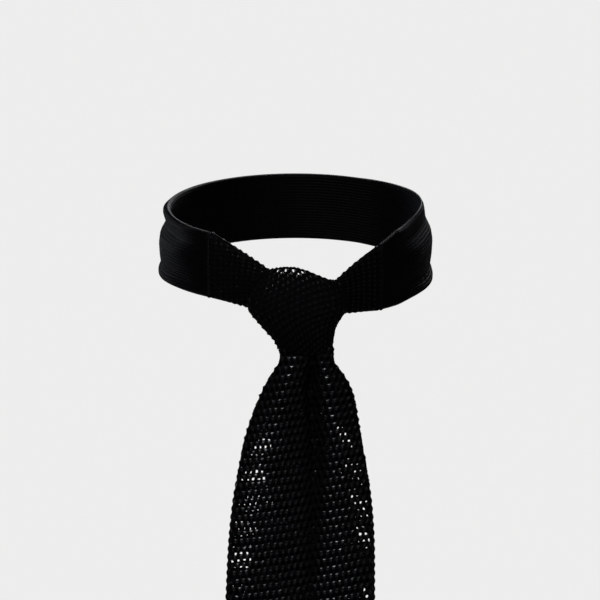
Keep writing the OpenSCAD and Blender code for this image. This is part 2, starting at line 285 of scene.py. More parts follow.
def makeFabric(name, fromUv=True):
    spec = finishes[name]
    material = bpy.data.materials.new(name)
    material.use_nodes = True
    tree = material.node_tree
    shader = tree.nodes["Principled BSDF"]
    shader.inputs["Specular IOR Level"].default_value = spec["gloss"]
    shader.inputs["Sheen Weight"].default_value = spec["sheen"]
    shader.inputs["Sheen Roughness"].default_value = shading["sheenRoughness"]
    shader.inputs["Sheen Tint"].default_value = shading["sheenTint"]
    place = tree.nodes.new("ShaderNodeTexCoord")
    stitches = place.outputs["UV"]
    if not fromUv:
        scaled = tree.nodes.new("ShaderNodeVectorMath")
        scaled.operation = "SCALE"
        scaled.inputs["Scale"].default_value = 1 / mm
        tree.links.new(place.outputs["Object"], scaled.inputs[0])
        stitches = scaled.outputs[0]
    ply = tree.nodes.new("ShaderNodeGroup")
    ply.node_tree = plyTwist
    tree.links.new(stitches, ply.inputs["Stitches"])
    tree.links.new(place.outputs["Object"], ply.inputs["Place"])
    height = ply.outputs["Height"]
    if "rib" in spec:
        rib = tree.nodes.new("ShaderNodeGroup")
        rib.node_tree = fineRib
        rib.inputs["Rib"].default_value = spec["rib"]
        rib.inputs["Pitch"].default_value = spec["pitch"]
        tree.links.new(stitches, rib.inputs["Stitches"])
        height = rib.outputs["Height"]
        ply.inputs["Twists"].default_value = 1.0
    else:
        ply.inputs["Twists"].default_value = spec["twists"]
        ply.inputs["Crowned"].default_value = spec.get("crowned", 0.0)
    if "coat" in spec:
        # the crown of each loop is polished by wear; inside the dimple's crease the polish is turned down, as
        # painted shade
        shader.inputs["Coat Roughness"].default_value = shading["coatRoughness"]
        creaseShade = tree.nodes.new("ShaderNodeAttribute")
        creaseShade.attribute_name = "creaseShade"
        lost = mathNode(tree, "MULTIPLY", creaseShade.outputs["Fac"], spec["coat"])
        polish = mathNode(tree, "SUBTRACT", spec["coat"], lost)
        polish = mathNode(tree, "MULTIPLY", ply.outputs["Crown"], polish)
        tree.links.new(polish, shader.inputs["Coat Weight"])
    bump = tree.nodes.new("ShaderNodeBump")
    bump.inputs["Distance"].default_value = spec["bump"]
    bump.inputs["Strength"].default_value = shading["bumpStrength"]
    tree.links.new(height, bump.inputs["Height"])
    tree.links.new(bump.outputs["Normal"], shader.inputs["Normal"])
    colour = tree.nodes.new("ShaderNodeMix")
    colour.data_type = "RGBA"
    colour.inputs["A"].default_value = (*spec["dark"], 1)
    colour.inputs["B"].default_value = (*spec["light"], 1)
    # on knits and thread the paler crowns of the loops are a painted highlight; on ribs the colour follows
    # the dye
    dyeAndCrownSheen = ply.outputs["Shade"] if "rib" in spec else ply.outputs["Crown"]
    tree.links.new(dyeAndCrownSheen, colour.inputs["Factor"])
    rubbed = tree.nodes.new("ShaderNodeMix")
    rubbed.data_type = "RGBA"
    rubbed.inputs["B"].default_value = (*[shading["wornPaler"] * c for c in spec["light"]], 1)
    worn = mathNode(tree, "MULTIPLY", ply.outputs["Wear"], shading["wornShare"])
    tree.links.new(worn, rubbed.inputs["Factor"])
    tree.links.new(colour.outputs["Result"], rubbed.inputs["A"])
    tree.links.new(rubbed.outputs["Result"], shader.inputs["Base Color"])
    spread = tree.nodes.new("ShaderNodeMapRange")
    spread.inputs["To Min"].default_value = spec["roughness"][0]
    spread.inputs["To Max"].default_value = spec["roughness"][1]
    tree.links.new(dyeAndCrownSheen, spread.inputs["Value"])
    tree.links.new(spread.outputs[0], shader.inputs["Roughness"])
    return material


materials = {name: makeFabric(name) for name in finishes}
print("materials made:", len(materials))

def makePiece(name, points, quads, uv, material):
    mesh = bpy.data.meshes.new(name)
    mesh.vertices.add(len(points))
    mesh.vertices.foreach_set("co", (points * mm).astype(np.float32).ravel())
    mesh.loops.add(quads.size)
    mesh.loops.foreach_set("vertex_index", quads.astype(np.int32).ravel())
    mesh.polygons.add(len(quads))
    mesh.polygons.foreach_set("loop_start", np.arange(0, quads.size, 4, dtype=np.int32))
    mesh.polygons.foreach_set("use_smooth", np.ones(len(quads), bool))
    layer = mesh.uv_layers.new(name="stitches")
    layer.data.foreach_set("uv", uv[quads.ravel()].astype(np.float32).ravel())
    mesh.update(calc_edges=True)
    mesh.validate()
    mesh.materials.append(materials[material])
    piece = bpy.data.objects.new(name, mesh)
    bpy.context.scene.collection.objects.link(piece)
    return piece


def joined(*parts):
    # several (points, quads, uv) sets as one
    points, quads, uv, count = [], [], [], 0
    for p, q, t in parts:
        points.append(p)
        quads.append(q + count)
        uv.append(t)
        count += len(p)
    return np.concatenate(points), np.concatenate(quads), np.concatenate(uv)


def normalsOf(surface, u, v, step=1e-3):
    # unit normal = d(surface)/dv x d(surface)/du, by small differences
    du = surface(u + step, v) - surface(u - step, v)
    dv = surface(u, v + step) - surface(u, v - step)
    n = np.cross(du, dv)
    return n / np.maximum(np.linalg.norm(n, axis=1, keepdims=True), 1e-12)


def closeSheet(front, back, quads, uv):
    # front and back skins with the same faces, joined round every open edge
    count = len(front)
    edges = np.concatenate([quads[:, [k, (k + 1) % 4]] for k in range(4)])
    key = np.sort(edges, axis=1)
    _, first, times = np.unique(key, axis=0, return_index=True, return_counts=True)
    rim = edges[first[times == 1]]
    walls = np.stack([rim[:, 1], rim[:, 0], rim[:, 0] + count, rim[:, 1] + count], axis=1)
    faces = np.concatenate([quads, quads[:, ::-1] + count, walls])
    return np.concatenate([front, back]), faces, np.concatenate([uv, uv])


def gridFaces(rows, columns):
    # four-sided faces over a grid of rows by columns points
    i, k = np.meshgrid(np.arange(rows - 1), np.arange(columns - 1), indexing="ij")
    first = (i * columns + k).ravel()
    return np.stack([first, first + 1, first + columns + 1, first + columns], axis=1)


def ringFaces(rings, sides):
    # faces between rings of points, each closed on itself
    i, k = np.meshgrid(np.arange(rings - 1), np.arange(sides), indexing="ij")
    after = (k + 1) % sides
    faces = [i * sides + k, (i + 1) * sides + k, (i + 1) * sides + after, i * sides + after]
    return np.stack(faces, axis=2).reshape(-1, 4)


def capFaces(sides):
    # faces that close one ring, strip by strip from one side to the other
    s = np.arange(1, sides // 2)
    return np.stack([s - 1, s, sides - 1 - s, sides - s], axis=1)


def smoothStep(x, low, high):
    t = ((x - low) / (high - low)).clip(0, 1)
    return t * t * (3 - 2 * t)


# corners of a stitch, and of the eye in it at a share of the stitch
ringOut = np.array([(0, 0), (.5, 0), (1, 0), (1, .5), (1, 1), (.5, 1), (0, 1), (0, .5)])
ringIn = np.array([(-.8, -.8), (0, -1), (.8, -.8), (1, 0), (.8, .8), (0, 1), (-.8, .8), (-1, 0)])

# thickness of yarn on a crown, crest and strand, half way to the eye, at the eye and in a pit
yarnShares = (1.35, 0.85, 0.45, 0.66, 0.28, 0.12)

unevenness = {
    # shares of a stitch, or of the eye's and the yarn's own size
    "eyeSize": 0.16,
    "eyePlace": 0.03,
    "yarn": 0.10,
    "place": 0.035,
    "zigzag": 0.09,
}


def allOpen(a, b):
    return np.ones(len(a), bool)


def allShut(a, b):
    return np.zeros(len(a), bool)


def scattered(a, b, share):
    # true for about this share of the eyes, the same ones each time
    return (np.sin(a * 12.9898 + b * 78.233) * 43758.5453) % 1 < share


def netLattice(columns, rows, eye, rng, isOpen):
    # a brick lattice of stitches, each two rings of 8 faces round an eye; odd rows shift by half
    # a stitch and end in solid half stitches; a shut eye sinks to a pit
    j, i = np.meshgrid(np.arange(rows), np.arange(columns), indexing="ij")
    keep = ~((j % 2 == 1) & (i == columns - 1))
    i, j = i[keep].astype(float), j[keep].astype(float)
    i = i + 0.5 * (j % 2)
    base = np.stack([i, j], axis=1)
    outer = base[:, None, :] + ringOut[None]
    size = 1 + unevenness["eyeSize"] * rng.standard_normal((len(base), 1, 2))
    size = eye * size.clip(0.6, 1.35)
    centre = base[:, None, :] + 0.5 + unevenness["eyePlace"] * rng.standard_normal((len(base), 1, 2))
    inner = centre + ringIn[None] * size
    middle = 0.5 * (outer + inner)
    key = np.round(outer.reshape(-1, 2) * 2).astype(int)
    odd = np.arange(1, rows, 2).astype(float)
    halves = []
    for left in (True, False):
        a0, a1 = (0.0, 0.5) if left else (columns - 0.5, float(columns))
        for b0 in (0.0, 0.5):
            around = ((a0, b0), (a1, b0), (a1, b0 + 0.5), (a0, b0 + 0.5))
            halves.append(np.stack([np.stack([np.full_like(odd, a), odd + b], 1) for a, b in around], axis=1))
    halfCells = np.concatenate(halves)
    keyHalf = np.round(halfCells.reshape(-1, 2) * 2).astype(int)
    grid, index = np.unique(np.concatenate([key, keyHalf]), axis=0, return_inverse=True)
    index = index.ravel()
    count = len(base)
    edgeIds = index[: count * 8].reshape(count, 8)
    solid = index[count * 8:].reshape(-1, 4)
    start = len(grid)
    midIds = start + np.arange(count * 8).reshape(count, 8)
    eyeIds = midIds + count * 8
    after = (np.arange(8) + 1) % 8
    ring0 = np.stack([edgeIds, edgeIds[:, after], midIds[:, after], midIds], axis=2).reshape(-1, 4)
    ring1 = np.stack([midIds, midIds[:, after], eyeIds[:, after], eyeIds], axis=2).reshape(-1, 4)
    shut = ~isOpen(base[:, 0] + .5, base[:, 1] + .5)
    pitIds = start + count * 16 + np.arange(shut.sum())
    ids = eyeIds[shut]
    pits = np.concatenate([
        np.stack([ids[:, k], ids[:, k + 1], ids[:, (k + 2) % 8], pitIds], axis=1) for k in (0, 2, 4, 6)])
    places = np.concatenate([grid / 2.0, middle.reshape(-1, 2), inner.reshape(-1, 2), base[shut] + .5])
    # kind: 0 on the lattice, 1 half way in, 2 round the eye, 3 at the bottom of a pit
    kind = np.repeat([0, 1, 2, 3], [start, count * 8, count * 8, shut.sum()])
    ringRow = np.repeat(base[:, 1], 8)
    row = np.concatenate([ringRow, ringRow, np.tile(odd, 4), np.tile(base[shut, 1], 4)])
    quads = np.concatenate([ring0, ring1, solid, pits])
    return places, kind, quads, row


def evenCore(thick):
    return lambda u, v: np.full(len(u), thick)


def netPanel(surface, columns, rows, seed, eye, yarn, core=evenCore(0.0), isOpen=allShut,
             slope=None, scallop=0.3, fadeIn=(-1.0, -0.5)):
    # a knitted panel over surface(u, v), u and v from 0 to 1; half thickness =
    # core(u, v) + yarn * share, where share is most on a crown and least at an eye;
    # gives its front and back points, its faces, uv and the row of each face
    rng = np.random.default_rng(seed)
    places, kind, quads, row = netLattice(columns, rows, np.array(eye), rng, isOpen)
    a, b = places[:, 0].copy(), places[:, 1].copy()
    onGrid = kind == 0
    leftEdge, rightEdge = onGrid & (a < 0.01), onGrid & (a > columns - 0.01)
    topEdge, endEdge = b < 0.01, b > rows - 0.01
    crest = onGrid & (np.abs(b - np.round(b)) < 0.01)
    strand = onGrid & ~crest
    crown = crest & (np.cos(2 * math.pi * a) * np.cos(math.pi * b) > 0)
    share = np.select([crown, crest, strand, kind == 1, kind == 2], yarnShares[:5], yarnShares[5])
    share = share * (1 + unevenness["yarn"] * rng.standard_normal(len(a)))
    # crests lean up and down by turns, so each course runs in a small zigzag
    lean = np.where(np.round(a * 2) % 2 == 0, 1.0, -1.0) * np.where(np.round(b) % 2 == 0, 1.0, -1.0)
    inside = ~(leftEdge | rightEdge | topEdge | endEdge)
    b = b + np.where(crest & inside, unevenness["zigzag"] * lean, 0.0)
    a = a + np.where(inside, unevenness["place"] * rng.standard_normal(len(a)), 0.0)
    b = b + np.where(inside, unevenness["place"] * rng.standard_normal(len(a)), 0.0)
    out = np.where(crest, scallop, -scallop * 0.5) * smoothStep(b / rows, fadeIn[0], fadeIn[1])
    a = a + np.where(rightEdge, out, 0.0) - np.where(leftEdge, out, 0.0)
    border = leftEdge | rightEdge
    share = np.where(border, share * 0.55, share)
    u, v = a / columns, b / rows
    if slope is not None:
        v = v + slope(u, v)
    at = surface(u, v)
    lift = (core(u, v) + yarn * share)[:, None] * normalsOf(surface, u, v)
    return at + lift, at - lift, quads[:, ::-1], places, row


def keepRows(panel, low=0, high=1e9):
    # the part of a panel whose stitches lie in rows low to high, as one closed sheet
    front, back, quads, uv, row = panel
    used = quads[(row >= low) & (row < high)]
    ids, flat = np.unique(used, return_inverse=True)
    return closeSheet(front[ids], back[ids], flat.reshape(used.shape), uv[ids])


def tube(path, radius, sides=8, uvScale=1.0):
    # closed round tube with domed ends: point = path + radius * (cos t * side + sin t * up)
    path = np.asarray(path, float)
    radius = np.broadcast_to(np.asarray(radius, float), (len(path),)).copy()
    along = np.gradient(path, axis=0)
    along /= np.maximum(np.linalg.norm(along, axis=1, keepdims=True), 1e-9)
    steep = abs(along[len(path) // 2, 1]) >= 0.8
    hint = np.array([1.0, 0.2, 0.1] if steep else [0.31, 0.87, 0.39])  # any line well off the path's own
    side = np.cross(along, hint)
    side /= np.linalg.norm(side, axis=1, keepdims=True)
    up = np.cross(side, along)
    t = np.arange(sides) * 2 * math.pi / sides
    ring = path[:, None] + radius[:, None, None] * (
        np.cos(t)[None, :, None] * side[:, None] + np.sin(t)[None, :, None] * up[:, None])
    first = path[:1, None] - along[:1, None] * radius[0] * 0.5 + (ring[:1] - path[:1, None]) * 0.35
    last = path[-1:, None] + along[-1:, None] * radius[-1] * 0.5 + (ring[-1:] - path[-1:, None]) * 0.35
    ring = np.concatenate([first, ring, last])
    rings = len(ring)
    caps = capFaces(sides)
    end = (rings - 1) * sides + caps[:, ::-1]
    quads = np.concatenate([ringFaces(rings, sides), caps, end])
    steps = np.linalg.norm(np.diff(ring.mean(axis=1), axis=0), axis=1)
    lengths = np.concatenate([[0], np.cumsum(steps)])
    uv = np.stack([np.tile(np.arange(sides) / sides, rings), np.repeat(lengths, sides) * uvScale], axis=1)
    return ring.reshape(-1, 3), quads, uv


print("helpers ready")
makeCamera()
makeStudio()

neckband = {
    "inner": 56.15,  # against the neck
    "leaveAt": 38.6,  # degrees from straight ahead where the band ends
    "height": 30.5,
    "sideLow": -12.5,
    "tilt": 0.25,  # rise of the lower edge for each millimetre to the back
    "around": 250,
    "ribs": 23,
    "ribLift": 0.13,
    # outside radius at shares of the height, left side and right side
    "shares": (0, .04, .10, .19, .33, .50, .63, .70, .78, .86, .93, .97, 1),
    "left": (59.6, 62.0, 61.8, 60.6, 61.3, 61.7, 61.2, 59.9, 58.4, 59.3, 60.0, 59.6, 58.4),
    "right": (59.8, 62.5, 62.3, 60.9, 61.6, 61.9, 61.2, 60.1, 58.9, 58.7, 58.5, 58.2, 57.6),
    # lift of the lower and the upper edge at degrees round from straight ahead, left and right
    "rounds": (38, 44, 50, 62, 78, 90, 120, 150, 180),
    "lowLeft": (1.5, 1.4, 1.2, 0.7, 0.2, 0, 0, 0, 0),
    "lowRight": (-4.0, -4.0, -4.0, -3.2, -2.5, -2.2, -1.0, 0, 0),
    "topRight": (-6.0, -3.6, -1.3, 0.4, 2.0, 2.3, 1.0, 0, 0),
    "calm": 60.6,  # outside radius at the back
    "calmShare": 0.65,
    "ahead": 60.75,  # outside radius near the joins
    "rounding": 0.055,  # share of the height that each edge's rounding takes
    "stitches": 290,  # along the whole band, for the bump
}


def bandSurface(u, h, outside):
    # u from 0 at the left join round the back to 1 at the right join, h up the band
    turn = np.radians(neckband["leaveAt"] + u * (360 - 2 * neckband["leaveAt"]))
    sideways = -np.sin(turn)
    deep = -np.cos(turn)
    right = (sideways + 1) / 2
    shares = np.array(neckband["shares"])
    fine = np.linspace(0, 1, 201)
    blur = np.exp(-0.5 * (np.linspace(-1, 1, 21) / 0.32) ** 2)
    blur /= blur.sum()

    def profile(values):
        raw = np.interp(fine, shares, values)
        soft = np.convolve(np.pad(raw, 10, mode="edge"), blur, mode="valid")
        return np.interp(h, fine, soft)

    out = (1 - right) * profile(neckband["left"]) + right * profile(neckband["right"])
    back = smoothStep(deep, 0.2, 0.9)
    calm = neckband["calm"] + 0.7 * np.sin(math.pi * h) + 0.35 * np.sin(9 * turn + 6 * h)
    calmShare = neckband["calmShare"] * back
    out = out * (1 - calmShare) + calm * calmShare
    ahead = smoothStep(-deep, 0.42, 0.76)
    out = out * (1 - ahead) + (neckband["ahead"] + 0.3 * np.sin(math.pi * h)) * ahead
    out = out + 0.25 * np.sin(5.3 * turn + 4 * h) + 0.15 * np.sin(11.7 * turn - 5 * h)
    rib = np.abs(np.cos(math.pi * h * neckband["ribs"]))
    radius = out + neckband["ribLift"] * (rib - 0.6) if outside else neckband["inner"] + 0.04 * rib
    # both skins meet in a rounded edge at the top and the bottom
    ends = np.minimum(h, 1 - h)
    edge = np.sqrt(1 - (1 - (ends / neckband["rounding"]).clip(0, 1)) ** 2)
    middle = 0.45 * out + 0.55 * neckband["inner"] + 0.6 * (h > 0.5)
    radius = middle + (radius - middle) * edge
    x, y = radius * sideways, radius * deep
    fromFront = np.degrees(np.arccos(-deep.clip(-1, 1)))
    lowLeft, lowRight, topRight = (np.interp(fromFront, neckband["rounds"], neckband[key])
                                   for key in ("lowLeft", "lowRight", "topRight"))
    low = np.where(sideways > 0, lowRight, lowLeft)
    top = np.where(sideways > 0, topRight, 0.0)
    z = neckband["sideLow"] + neckband["tilt"] * 58 * deep + h * neckband["height"] + low * (1 - h) + top * h
    z = z + 0.35 * np.sin(3.1 * turn + 1.0) * np.sin(math.pi * h)
    return np.stack([x, y, z], axis=1)


def makeNeckband():
    across = neckband["ribs"] * 5 + 1
    u, h = np.meshgrid(np.linspace(0, 1, neckband["around"]), np.linspace(0, 1, across), indexing="ij")
    u, h = u.ravel(), h.ravel()
    quads = gridFaces(neckband["around"], across)
    uv = np.stack([h * neckband["height"], u * neckband["stitches"]], axis=1)
    points, faces, uv = closeSheet(bandSurface(u, h, True), bandSurface(u, h, False), quads, uv)
    piece = makePiece("neckbandKnit", points, faces, uv, "fineKnit")
    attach(piece, "neckband")
    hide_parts("neckband")


makeNeckband()
print("neckband made")

leadTurn = 38.0  # degrees from straight ahead where the leads leave the band

leads = {
    # heights of the two edges at shares 0, a half and 1 of the way to the knot; flat = width and length
    "front": {"side": -1, "length": 31.0, "rows": 10, "columns": 13, "seed": 11, "flat": (0.032, 0.031),
              "low": (-22.4, -25.0, -27.7), "top": (6.6, -1.2, -9.2)},
    "tail": {"side": 1, "length": 31.0, "rows": 10, "columns": 13, "seed": 12, "flat": (0.028, 0.031),
             "low": (-27.9, -28.4, -29.0), "top": (0.6, -8.8, -20.4)},
}


def throughThree(values, v):
    # curve through the three values at v = 0, a half and 1
    start, middle, end = values
    return start + (4 * middle - 3 * start - end) * v + 2 * (start + end - 2 * middle) * v ** 2


def leadSurface(spec):
    leave = math.radians(leadTurn)
    start = np.array([math.sin(leave) * 58, -math.cos(leave) * 58])
    along = np.array([-math.cos(leave), -math.sin(leave)])
    out = np.array([math.sin(leave), -math.cos(leave)])

    def surface(u, v):
        # v runs from the join to the knot and u down the strip; it bulges outwards in the middle
        h = 1 - u
        run = v * spec["length"]
        low, top = (throughThree(spec[key], v) for key in ("low", "top"))
        bulge = 0.75 * (1 - v) + (1.6 + 1.2 * v) * np.sin(math.pi * h.clip(0, 1)) * v
        flat = start[None] + along[None] * run[:, None] + out[None] * bulge[:, None]
        x, y = flat[:, 0] * spec["side"], flat[:, 1]
        return np.stack([x, y, low + h * (top - low)], axis=1)

    return surface


def makeLead(name, key, replaced):
    spec = leads[key]
    side = spec["side"]

    def core(u, v):
        return (2.1 - 0.8 * v.clip(0, 1)) * np.sqrt(1 - (np.abs(2 * u - 1).clip(0, 1)) ** 6)

    points, faces, uv = keepRows(netPanel(
        leadSurface(spec), spec["columns"], spec["rows"], spec["seed"], eye=(0.24, 0.24), yarn=0.55,
        core=core, scallop=0.35, fadeIn=(0.1, 0.7)))
    if side > 0:
        faces = faces[:, ::-1]
    piece = makePiece(name, points, faces, uv, "shadedTightKnit")
    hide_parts(replaced)
    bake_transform(piece)


makeLead("frontLeadKnit", "front", "front_lead")
makeLead("tailLeadKnit", "tail", "tail_upper")
print("leads made")

blade = {
    "top": -40.0,
    "hemTop": -497.0,
    "split": 250.0,  # below the origin, where the upper part ends
    "flat": 65.0,
    "neck": 22.5,
    "flare": 32.0,
    "columns": 24,
    "rowPitch": 3.45,
    "backPitch": 2.72,
    "layer": 1.0,  # from the middle of the tube to each skin
    "gatheredRows": 14,  # of the back skin, shut under the knot
    "scatteredFrom": (38, 52),  # rows of the back skin over which eyes begin to be shut here and there
    "shutShare": 0.4,
    # distance below the knot, the dimple's distance right of the middle there, and the half width of the
    # painted shade that dulls its crowns
    "dimpleDown": (0, 12, 40, 70, 100, 160, 200),
    "dimpleRight": (3.2, 2.8, 5.9, 5.4, 4.2, 3.0, 3.0),
    "creaseShadeDown": (0, 12, 40, 70, 100, 200),
    "creaseShadeWidth": (4.4, 4.6, 6.4, 3.6, 1.8, 0.9),
}


def bladeMiddle(z):
    return 2.2 + 2.8 * np.exp(-np.maximum(swingAt[2] - z, 0) / 40)


def bladeHalf(z):
    deep = np.maximum(swingAt[2] - z, 0)
    return (blade["flat"] - (blade["flat"] - blade["neck"]) * np.exp(-deep / blade["flare"])) / 2


def dimplePlace(deep):
    return np.interp(deep, blade["dimpleDown"], blade["dimpleRight"])


def foldedLayer(t, z, curl, under, lobes):
    # a skin of full width folded into the blade's outline at height z; t runs along the cloth from
    # the middle; inside the edges it lies in two lobes with a dimple, and past an edge it turns back
    # round a half circle of radius curl and runs under itself
    half = bladeHalf(z)
    deep = swingAt[2] - z
    swell = (1 - np.exp(-(deep + 6).clip(0) / 12)) * np.exp(-deep.clip(0) / 55)
    stretch = 1 + 0.22 * swell
    curl = 0.05 + curl * smoothStep(blade["flat"] / 2 - half, 0.5, 5.0)
    reach = np.minimum(blade["flat"] / 2, (half - curl) * stretch)
    front = np.minimum(np.abs(t), reach)
    side = np.sign(t)
    spare = (np.abs(t) - reach).clip(0)
    turn = np.minimum(spare / curl, math.pi)
    inward = (spare - math.pi * curl).clip(0)
    x = side * (front / stretch + curl * np.sin(turn) - inward)
    dimple = dimplePlace(deep)
    q = np.where(t < dimple, (t + reach) / (dimple + reach), (reach - t) / (reach - dimple)).clip(0, 1)
    lobe = np.sin(math.pi * q ** 0.85) - 0.30 * q ** 6
    y = -lobes * swell * lobe
    groove = 2.6 * np.exp(-deep.clip(0) / 60) * smoothStep(deep, -4, 10)
    y = y + groove * np.exp(-((t - dimple) / 3.0) ** 2)
    y = y + curl * (1 - np.cos(turn)) + under * smoothStep(spare, 2, 8) * (side > 0)
    return bladeMiddle(z) + x, y


def bladeWave(x, z):
    # slow, shallow waves of a hanging knit
    return 0.45 * np.sin(z / 31 + 0.8) * np.sin((x + 20) / 13) + 0.35 * np.sin(z / 57 + x / 21)


def bladeSurface(front):
    top, end = blade["top"], blade["hemTop"]

    def surface(u, v):
        z = top + (end - top) * v
        t = (u - 0.5) * blade["flat"]
        edge = np.sqrt(1 - np.abs(2 * u.clip(0, 1) - 1) ** 14)
        if front:
            x, y = foldedLayer(t, z, 1.25, 1.2, 5.2)
            y = swingAt[1] - blade["layer"] * edge + y
        else:
            half = bladeHalf(z) - 0.6 * (1 - edge)
            x = bladeMiddle(z) + (u - 0.5) * 2 * half
            spread = smoothStep(swingAt[2] - z, -4, 60)
            y = swingAt[1] + blade["layer"] * edge * (0.8 + 0.2 * spread) + 1.2 * (1 - spread)
        y = y + bladeWave(x, z) * smoothStep(swingAt[2] - z, 20, 120) * (1 - smoothStep(-z, 470, 497))
        x = x + 0.35 * np.sin(z / 23.0) * (2 * u - 1) ** 2 * smoothStep(-z, 60, 90)
        shoulder = 2.3 * np.exp(-((z + 62) / 11) ** 2)
        x = x + shoulder * smoothStep((x - bladeMiddle(z)) / bladeHalf(z), 0.2, 1.0)
        return np.stack([x, y, z], axis=1)

    return surface


def courseSlope(rise, length):
    # courses climb to the right, less near the hem and most near the right edge
    def slope(u, v):
        calm = 1 - smoothStep(v, 0.93, 1.0)
        calm = calm * smoothStep(v, 0.0, 0.03)
        return -rise * ((u - 0.5) + 0.5 * (u.clip(0, 1) - 0.3).clip(0) ** 2) * calm / length

    return slope


def edgeChain(surface, u, rows, v0, v1, size):
    # a chain of small loops down the selvedge; the radius swells once for each course
    v = np.linspace(v0, v1, int(rows * 5) + 1)
    path = surface(np.full_like(v, u), v)
    radius = size * (0.52 + 0.48 * np.abs(np.cos(math.pi * v * rows / (v1 - v0))))
    return tube(path, radius, uvScale=0.35)


def bladeBackOpen(a, b):
    # the gathered top of the back skin is shut; further down some eyes are shut here and there
    shutShare = blade["shutShare"] * smoothStep(b, *blade["scatteredFrom"])
    return (b > blade["gatheredRows"]) & scattered(a, b, 1 - shutShare)


def makeBlade():
    length = blade["top"] - blade["hemTop"]
    for front in (True, False):
        pitch = blade["rowPitch"] if front else blade["backPitch"]
        rows = int(round(length / pitch))
        surface = bladeSurface(front)
        slope = courseSlope(8.0 if front else 3.0, length)
        skin = netPanel(surface, blade["columns"], rows, 21 if front else 22, eye=(0.24, 0.22),
                        yarn=0.60 if front else 0.5, slope=slope, scallop=0.12,
                        isOpen=allOpen if front else bladeBackOpen)
        cut = int(round((blade["split"] + blade["top"]) / pitch))
        share = cut / rows
        for upper in (True, False):
            rowsKept = (0, cut) if upper else (cut, rows)
            parts = [keepRows(skin, *rowsKept)]
            if front:
                span = (0.0, share) if upper else (share, 1.0)
                for u in (0.002, 0.998):
                    parts.append(edgeChain(surface, u, (span[1] - span[0]) * rows, *span, 1.3))
            name = ("bladeUpper" if upper else "bladeLower") + ("FrontKnit" if front else "BackKnit")
            points, faces, uv = joined(*parts)
            piece = makePiece(name, points, faces, uv, "openKnit")
            if front:
                # how deep a point lies in the dimple, where the loops' crowns are dulled as painted shade
                deep = (swingAt[2] - points[:, 2]).clip(0)
                middle = bladeMiddle(points[:, 2]) + dimplePlace(deep)
                width = np.interp(deep, blade["creaseShadeDown"], blade["creaseShadeWidth"])
                # painted shade along the dimple: one at its middle, falling to none away from it
                creaseShade = np.exp(-((points[:, 0] - middle) / width) ** 4)
                layer = piece.data.attributes.new("creaseShade", "FLOAT", "POINT")
                layer.data.foreach_set("value", creaseShade.astype(np.float32))
            if upper:
                if front:
                    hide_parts("front_blade_upper")
                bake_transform(piece)
            else:
                if front:
                    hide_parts("front_blade_lower")
                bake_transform(piece)


makeBlade()
print("front blade made")

tail = {
    "top": -38.0,
    "split": 121.0,
    "hemTop": -372.0,
    "flat": 52.0,
    "pleats": 4,
    "pleatDepth": 0.0415,  # against the width as worn
    "pleatsEnd": (112, 178),  # below the origin, where the pleats run out
    "columns": 19,
    "rowPitch": 3.45,
    "backPitch": 3.05,
    "layer": 0.85,
    "heights": (-30, -45, -60, -75, -86, -97, -108, -118, -134, -149, -170, -200, -380),
    "widths": (15.5, 16, 18.5, 23.5, 28.5, 32.5, 37, 41, 46, 49, 51, 51.8, 52),
}


def tailHalf(z):
    fine = np.linspace(-390, -25, 366)
    raw = np.interp(fine, tail["heights"][::-1], tail["widths"][::-1])
    soft = np.convolve(np.pad(raw, 8, mode="edge"), np.ones(17) / 17, mode="valid")
    return np.interp(z, fine, soft) / 2


def tailSurface(front):
    low, high = corners("tail_lower")
    middleX, middleY = swayAt[0], (low[1] + high[1]) / 2
    top, end = tail["top"], tail["hemTop"]

    def surface(u, v):
        z = top + (end - top) * v
        half = tailHalf(z)
        s = 2 * u - 1
        edge = np.sqrt(1 - np.abs(s.clip(-1, 1)) ** 14)
        x = middleX + s * half
        y = middleY + (-1 if front else 1) * tail["layer"] * edge
        # the cut width is gathered into upright pleats below the knot, the same in both skins;
        # they swell backwards only, away from the front blade
        gathered = 1 - smoothStep(-z, *tail["pleatsEnd"])
        pleat = 1 + np.cos(2 * math.pi * tail["pleats"] * u)
        y = y + tail["pleatDepth"] * 2 * half * gathered * pleat
        free = smoothStep(-z, 90, 150) * (1 - smoothStep(-z, 350, 372))
        y = y + (0.4 * np.sin(z / 37) * np.sin(x / 15) + 0.3 * np.sin(z / 61)) * free
        return np.stack([x, y, z], axis=1)

    return surface


def tailFrontOpen(a, b):
    # the hidden skin is shut in the middle, where the cloth lies double on the blade
    return np.abs(a - tail["columns"] / 2) > 6.5


def makeTail():
    length = tail["top"] - tail["hemTop"]
    for front in (True, False):
        pitch = tail["rowPitch"] if front else tail["backPitch"]
        rows = int(round(length / pitch))
        surface = tailSurface(front)
        slope = courseSlope(-4.0 if front else 3.0, length)
        skin = netPanel(surface, tail["columns"], rows, 31 if front else 32, eye=(0.22, 0.20),
                        yarn=0.52, slope=slope, scallop=0.12, isOpen=tailFrontOpen if front else allOpen)
        cut = int(round((tail["split"] + tail["top"]) / pitch))
        share = cut / rows
        for upper in (True, False):
            rowsKept = (0, cut) if upper else (cut, rows)
            parts = [keepRows(skin, *rowsKept)]
            if front:
                span = (0.0, share) if upper else (share, 1.0)
                for u in (0.002, 0.998):
                    parts.append(edgeChain(surface, u, (span[1] - span[0]) * rows, *span, 1.15))
            name = ("tailUpper" if upper else "tailLower") + ("FrontKnit" if front else "BackKnit")
            piece = makePiece(name, *joined(*parts), "openKnit")
            if upper:
                if front:
                    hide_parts("tail_upper")
                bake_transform(piece)
            else:
                if front:
                    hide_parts("tail_lower")
                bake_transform(piece)


makeTail()
print("tail made")

